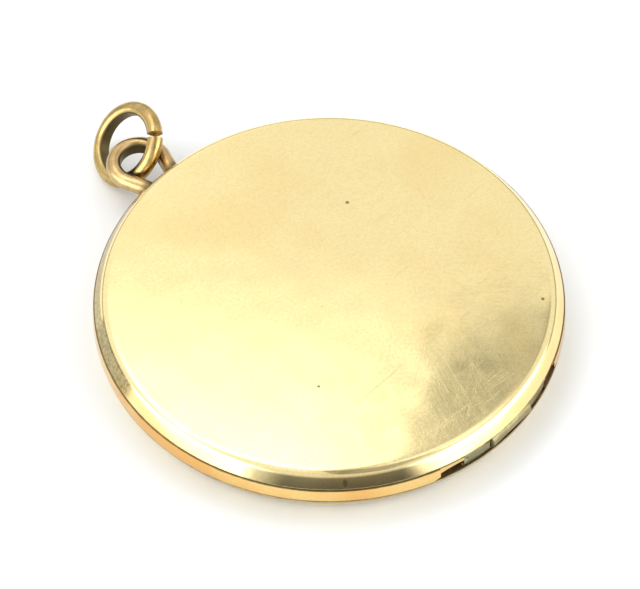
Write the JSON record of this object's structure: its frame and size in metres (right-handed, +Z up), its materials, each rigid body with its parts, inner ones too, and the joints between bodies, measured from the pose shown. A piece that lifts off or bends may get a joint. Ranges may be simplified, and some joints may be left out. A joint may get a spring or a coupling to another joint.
{
  "type": "round hinged locket",
  "caption": "Round double-domed locket with a rim hinge, a wire loop and an open jump ring; it opens to blank picture inserts behind clear sheets.",
  "frame": {"origin": "centre of the flat circle that the back cover rests on", "axes": "+Z up out of the front cover, +Y from the hinge towards the loop, +X along the hinge"},
  "size_m": [0.032, 0.0391, 0.0049],
  "materials": {
    "gold_fill": "polished, finely scratched yellow metal",
    "hinge_metal": "worn, pale filed metal",
    "pin_metal": "drawn wire, dull",
    "picture_paper": "matt aged paper, blank",
    "clear_sheet": "clear, glossy"
  },
  "bodies": {
    "back": {"back_cover": "gold_fill", "back_rim": "gold_fill", "closing_lip": "gold_fill", "hinge_knuckle_center": "hinge_metal", "bail_loop": "gold_fill", "back_picture": "picture_paper", "back_window": "clear_sheet", "back_frame": "gold_fill"},
    "front": {"front_cover": "gold_fill", "front_rim": "gold_fill", "hinge_knuckle_left": "hinge_metal", "hinge_knuckle_right": "hinge_metal", "hinge_pin": "pin_metal", "front_picture": "picture_paper", "front_window": "clear_sheet", "front_frame": "gold_fill"},
    "ring": {"jump_ring": "gold_fill"}
  },
  "joints": [
    {"name": "cover_hinge", "type": "hinge", "parent": "back", "child": "front", "pos_m": [0, -0.01542, 0.00303], "axis": [1, 0, 0], "range_deg": [0, 105]},
    {"name": "jump_ring_swing", "type": "hinge", "parent": "back", "child": "ring", "pos_m": [-0.00048, 0.01923, 0.00245], "axis": [-0.5461, -0.8377, 0], "range_deg": [0, 55]}
  ]
}
